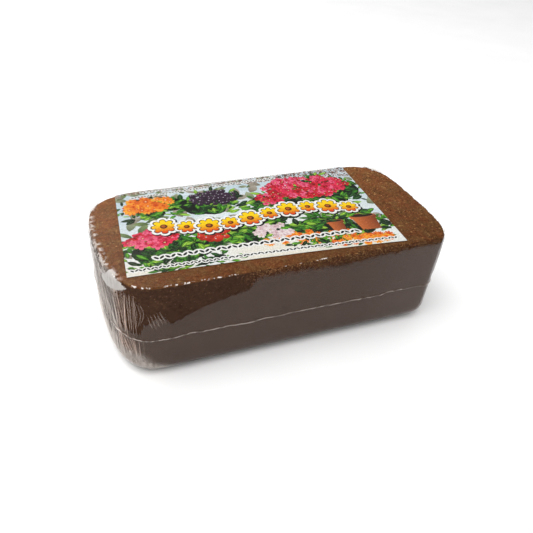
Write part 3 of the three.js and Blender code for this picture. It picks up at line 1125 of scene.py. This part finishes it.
# Creases below the front left corner, some of them bent: the distance from the corner's middle, the
# lowest and highest point, the lean along the block for each millimetre of height, the bend, the strength
# and the width
SHORT_CREASES = (
    (15.1, 36.5, 42.5, -0.28, 0, 1, 0.16),
    (16.9, 36.2, 43.4, -0.3, 0, 1, 0.16),
    (18.7, 37.0, 44.0, -0.33, 0, 1, 0.16),
    (20.3, 38.0, 44.6, -0.37, 0, 1, 0.16),
    (21.7, 39.4, 45.0, -0.42, 0, 1, 0.16),
    (8.6, 36, 53, -0.03, -0.02, 0.6, 0.22),
    (10.4, 37, 52, -0.02, -0.028, 0.6, 0.22),
    (12.0, 39, 51, 0, -0.04, 0.6, 0.22),
)

# Strong creases at the same corner, in the same form
STRONG_CREASES = (
    (1.2, 30, 55, 0.07, 0, 0.5, 0.3),
    (4.9, 33, 55, 0.01, 0, 0.3, 0.28),
    (7.0, 38, 55, 0.02, 0, 0.2, 0.28),
    (-3.6, 31, 50, 0.05, 0, 0.22, 0.5),
    (-7.0, 31, 48, -0.12, 0, 0.26, 0.5),
    (-12, 28.5, 39, -0.8, 0, 0.24, 1.8),
)

# Smaller flat places on the other corners: the middle, the direction along it, half its length and width
SMALL_PATCHES = (
    ((95.0, -41.0, 60.5), (-0.5, -0.86, 0), 4.0, 1.5),
    ((93.0, 38.0, 60.5), (-0.5, 0.86, 0), 8.0, 3.0),
    ((-92.0, 38.0, 60.5), (0.5, 0.86, 0), 6.0, 2.5),
)

# Along the front, the height above which the film clings to the coir
CONTACT_PLACES = (-87.5, -85.5, -84, -79, -75, -72, -67, -56, -48, -35, -30, -26, 0, 28, 47, 80, 96)
CONTACT_HEIGHTS = (31, 38, 38, 42, 42, 37, 38.4, 43.3, 46.4, 49.2, 51, 56.5, 55.8, 54.8, 56.6, 58, 57)


def film_loop():
    """The outline with samples crowded at the corners, where the pleats are fine, and each sample's
    distance and corner number."""
    fine = outline(FILM_COLUMNS * 4)
    distance, corner = corner_distance(fine)
    density = 1 + np.array(CROWDING)[corner] * bell(distance / CROWDING_REACH)
    travelled = np.concatenate([[0], np.cumsum(density)[:-1]])
    at = np.linspace(0, density.sum(), FILM_COLUMNS, endpoint=False)
    sampled = np.column_stack([np.interp(at, travelled, column) for column in fine.T])
    nearest = np.round(np.interp(at, travelled, np.arange(len(fine)))).astype(int)
    return sampled, distance[nearest], corner[nearest]


def crease(distance, z, at, low, high, slant, bend, width):
    """One upright crease, from 0 to 1, which fades at its ends. Half-way up it passes the place given."""
    rise = z - (low + high) / 2
    fade = ease(low - 2, low + 1.5, z) * (1 - ease(high - 1.5, high + 2, z))
    return bell((distance - at - (slant * rise + bend * rise**2)) / width) * fade


def creases(rng, distance, corner, z, count, widths):
    """Upright creases round the four corners, from 0 to 1. Above the weld those nearer the block's end
    lean more, and below it those nearer the corner's middle do."""
    total = 0
    for number, share in enumerate(PLEATED):
        for _ in range(round(share * count)):
            if rng.random() < ABOVE_WELD:
                at = rng.triangular(-38, 0, 9.5) if rng.random() < 0.45 else rng.uniform(-9, 9.5)
                low, high = SEAL_HEIGHT + rng.uniform(0, 7), rng.uniform(48, 59)
                slant = -0.2 * ease(4, -4, at) - 0.01 * max(0, -at - 8)
            else:
                at = rng.triangular(-38, 2, 12) if rng.random() < 0.5 else rng.uniform(-6, 12)
                low, high = rng.uniform(15, 20), SEAL_HEIGHT - rng.uniform(0, 1.5)
                slant = -0.45 * ease(9, 0, at)
            if at > -2:
                high = min(high, 55)
            slant, bend = slant + rng.normal(0, 0.03), rng.normal(0, 0.002)
            width, tall = rng.uniform(*widths) * (0.65 if at > 0 else 1), rng.uniform(0.35, 1)
            line = tall * crease(distance, z, at, low, high, slant, bend, width)
            total = np.maximum(total, line * (corner == number))
    return total


def placed_creases(distance, corner, z, rows):
    """Creases at the front left corner, each from 0 to its own strength."""
    here = corner == FRONT_LEFT
    return [tall * crease(distance, z, *row, width) * here for *row, tall, width in rows]


def patch_share(loop, points, distance, corner):
    """Where the film is stretched flat across the corners of the top, from 0 to 1."""
    total = front_left_patch(loop, points, distance, corner)
    ragged = 1.3 * swing(points, 3, 42)
    for centre, along, long, wide in SMALL_PATCHES:
        away = points - np.array(centre)
        lengthwise = away @ np.array(along)
        sideways = np.sqrt(np.maximum((away**2).sum(-1) - lengthwise**2, 0))
        oval = (lengthwise / long) ** 2 + (sideways / wide) ** 2
        total = np.maximum(total, 1 - ease(0.86, 1.0, oval + ragged))
    return total


def contact_height(loop):
    """The height above which the film clings to the coir: lowest at the front's left end."""
    x, y = loop[:, 0], loop[:, 1]
    level = np.column_stack([x, y, 0 * x])
    elsewhere = 54 + 5 * swing(level, 30, 43, 1)
    share = ease(25, 38, -y)
    wobble = 1.6 * swing(level, 7, 44) + 2 * swing(level, 2.2, 45)
    return np.interp(x, CONTACT_PLACES, CONTACT_HEIGHTS) * share + elsewhere * (1 - share) + wobble


def glint_share(points, turn, inwards):
    """Where creases along the upper edge catch the light, from 0 to 1: in clusters on the rounded edge.
    The turn is 0 on the side and 90 degrees on the top."""
    x, y = points[..., 0], points[..., 1]
    front = np.interp(x, (-96, -91, -88, -50, -44, 0, 26, 40), (0.8, 1, 1.6, 1.5, 0.9, 0.6, 0.4, -0.6))
    back = np.interp(x, (-96, -60, 0, 30), (0.6, 0.7, 0.4, -0.6))
    share = np.where(y < 0, front, back)
    clusters = ease(0.47, 0.57, layered_noise(points, 3.2, 71, 2) - 0.25 * (0.9 - share))
    return clusters * bell((turn - 50) / 12) * (inwards < 0.1)


def glint_blotches(points, inwards):
    """Where film crinkles along the upper edge of the left end catch the light, from 0 to 1: painted
    highlights in spots.
    """
    x, y, z = np.moveaxis(points, -1, 0)
    at_end = ease(88, 96, -x) * ease(-38, -34, y) * ease(46, 55, z) * ease(1.3, 0.2, inwards)
    return at_end * ease(0.46, 0.56, layered_noise(points, 1.6, 72, 2))


def end_haze_and_reflection(loop, distance, z):
    """How milky the film is round the block's ends: all over towards the middle of the end, less far
    along the block the higher up, and less at the right end than at the left. Low down, where it
    reaches furthest along the block, the milky white is a painted reflection of the pale floor in the
    film's lower curve; higher up it is milky gathered film."""
    reach = np.interp(z, (4, 11, 18, 26, 34, 56), (30, 14, 6, 1, -5, -8))
    share = ease(7, -7, distance - reach) * (1 + 0.35 * ease(10, 40, -distance))
    right = np.where(loop[:, 0] > 0, np.interp(loop[:, 1], (-20, 30), (0.26, 0.5)), 1)
    # The term that grows below 24 mm, with the long reach low down, is the painted floor reflection
    return (0.13 + 0.05 * ease(46, 36, z) + 0.16 * ease(24, 14, z)) * share * right


def film_sheet(name, node, stations, tip, material):
    """One sheet of film, from its welded lip to its middle, with what makes it milky."""
    rng = np.random.default_rng(31)
    loop, distance, corner = film_loop()
    _, z, upright, up, _ = station_columns(stations)
    over = up >= 0
    on_side = np.clip(1.7 * upright, 0, 1)
    turn = np.degrees(np.arctan2(up, np.maximum(upright, 1e-6)))
    smooth = surface(loop, stations)
    inwards = from_rim(loop, smooth) * (turn >= 89.9)

    # Creases, and where the film is stretched flat or clings to the coir
    pleats = creases(rng, distance, corner, z, PLEATS_PER_CORNER, PLEAT_WIDTHS) * upright
    gaps = creases(rng, distance, corner, z, GAPS_PER_CORNER, GAP_WIDTHS) * upright
    short = np.max(placed_creases(distance, corner, z, SHORT_CREASES), axis=0) * upright
    strong = sum(placed_creases(distance, corner, z, STRONG_CREASES)) * upright
    patch = patch_share(loop, smooth, distance, corner) * over
    fade = np.interp(loop[:, 0], (-55, -25), (0.8, 1.4))
    cling = ease(-1, 1, (z - contact_height(loop)) / fade)

    # Form
    uneven = SLACK_RELIEF * swing(smooth, 26, 51, 2) + CRINKLE_RELIEF * swing(smooth, 2.4, 52, 2) * cling
    depth = FILM_DEPTH + np.maximum(uneven, -0.1) + scoop(smooth) + flattened(loop, smooth)
    depth = depth - np.maximum(PLEAT_RELIEF * pleats, STRONG_RELIEF * strong)
    depth = depth - SHORT_RELIEF * short + GAP_RELIEF * gaps
    level = np.insert(loop[:, :2], 2, 0, axis=1)
    depth[tip] = -LIP_REACH * (0.5 + noise(level, 3, 53))
    wave = sum(tall * swing(level, *rest) for tall, *rest in WELD_WAVES)
    points = surface(loop, stations, depth, wave * bell((z - SEAL_HEIGHT) / 3))
    points = np.clip(points, (-LENGTH / 2, -WIDTH / 2, 0), (LENGTH / 2, WIDTH / 2, HEIGHT))
    made = make_object(name, points, grid_faces(*points.shape[:2]), material)

    # What makes it milky, and its painted grey sheen, painted reflections and painted highlights
    at_end = end_haze_and_reflection(loop, distance, z) * on_side
    drawn = np.stack(np.broadcast_arrays(distance * 2.2, z * 0.25, corner * 50.0), -1)
    mottled = 0.35 + 1.3 * ease(0.25, 0.75, layered_noise(drawn, 3, 56, 2))
    mottled = mottled + (1 - mottled) * 0.75 * ease(18, 12, z)
    clearer = 1 - 0.6 * ease(-1, 2, distance) * ease(50, 54, z)
    haze = (at_end * mottled * (1 - 0.95 * gaps) + PLEAT_HAZE * pleats) * clearer + strong
    at_corner = 0.3 * ease(12, 4, np.abs(distance + 2))
    broken = 0.3 + 0.7 * ease(0.33, 0.62, layered_noise(level, 2.2, 57, 2))
    haze[tip] = (at_corner + LIP_HAZE) * broken
    right = ease(30, 95, loop[:, 0]) * (loop[:, 1] < 0)
    # Painted sheen: where the film stands clear of the coir, a grey layer in place of its reflection of
    # the bright surroundings, brighter below the weld and towards the right
    painted_sheen_share = (0.85 + 0.1 * (z < SEAL_HEIGHT) + 0.3 * right) * (1 - cling) * (1 - 3 * at_end)
    glint = glint_share(smooth, turn, inwards) * over
    warm = (0.5 + 0.5 * ease(-10, -2, distance) * ease(14, 20, z)) * (1 - patch) * (1 - glint)
    warm[tip] = 0.4
    # Painted highlights: milky white spots where crinkles on the left end's upper edge catch the light
    glint_spots = GLINT_SPOT_HAZE * glint_blotches(smooth, inwards) * over
    # Painted sheen: a faint milky veil over the top, growing towards its left end
    top_left_sheen = TOP_LEFT_SHEEN_HAZE * ease(50, 100, -smooth[..., 0]) * (up > 0.9)
    # Where stretched flat the milky white is a painted reflection, in the left end's spots painted
    # highlights, and at the top's left a painted sheen; short creases are milky film
    flat = np.max([PATCH_REFLECTION_HAZE * patch, glint_spots, top_left_sheen, SHORT_HAZE * short], axis=0)
    sheen = np.clip(painted_sheen_share, 0, 1.25) * on_side
    contact = np.maximum(cling, patch)
    set_numbers(made, warm=warm, haze=haze, contact=contact, glint=glint, flat=flat, sheen=sheen)
    weld(made)
    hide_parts(node)


def build_film():
    material = film_material()
    # Heights of the rows of the mesh, coarse next to the weld and finer towards the upper edge
    above = [*np.arange(SEAL_HEIGHT + 0.8, 35, 1.2), *np.arange(35, 54, 0.6)]
    above += [*np.linspace(54, HEIGHT - TOP_RADIUS, 7)[:-1]]
    below = np.linspace(BASE_RADIUS, SEAL_HEIGHT - 0.8, 16)[1:]
    over = side_stations([SEAL_HEIGHT, SEAL_HEIGHT + LIP_HALF, *above]) + top_stations(20, 8)
    under = base_stations(8, 14) + side_stations([*below, SEAL_HEIGHT - LIP_HALF, SEAL_HEIGHT])
    film_sheet("film_over_top", "film_upper", over, 0, material)
    film_sheet("film_under_base", "film_lower", under, -1, material)


# Studio

# The floor's left, front, right and back
FLOOR = (-3000, -3000, 3000, 3000)
WORLD_STRENGTH = 0.8

# The lights' places and sizes in metres, and their powers in watts
LIGHTS = (("key", (-0.35, -0.2, 1.0), (0.9, 0.9), 9), ("back", (-0.5, 0.8, 0.7), (0.6, 0.4), 4))


def make_camera():
    data = bpy.data.cameras.new("camera")
    data.sensor_width, data.lens, data.clip_start = CAMERA_SENSOR, CAMERA_LENS, CAMERA_NEAREST
    matrix = Matrix.Translation(Vector(CAMERA_PLACE) * MM)
    for angle, axis in ((CAMERA_AZIMUTH, "Z"), (90 - CAMERA_ELEVATION, "X"), (CAMERA_ROLL, "Z")):
        matrix = matrix @ Matrix.Rotation(math.radians(angle), 4, axis)
    camera = add_object("camera", data)
    camera.matrix_world = matrix
    bpy.context.scene.camera = camera


def area_light(name, place, size, power):
    """A light that faces the middle of the block's base."""
    data = bpy.data.lights.new(name, "AREA")
    data.shape = "RECTANGLE"
    data.size, data.size_y = size
    data.energy = power
    light = add_object(name, data)
    light.location = place
    light.rotation_euler = (-Vector(place)).to_track_quat("-Z", "Y").to_euler()


def make_studio():
    floor = add_mesh("floor", [(*at, 0) for at in box(*FLOOR)], [(0, 1, 2, 3)], floor_material())
    world = bpy.data.worlds.new("studio")
    world.use_nodes = True
    feed(world.node_tree.nodes["Background"], {"Color": (1, 1, 1, 1), "Strength": WORLD_STRENGTH})
    bpy.context.scene.world = world
    for light in LIGHTS:
        area_light(*light)
    bpy.context.scene.view_settings.view_transform = "Standard"


make_camera()
make_studio()
build_coir()
build_label()
build_film()
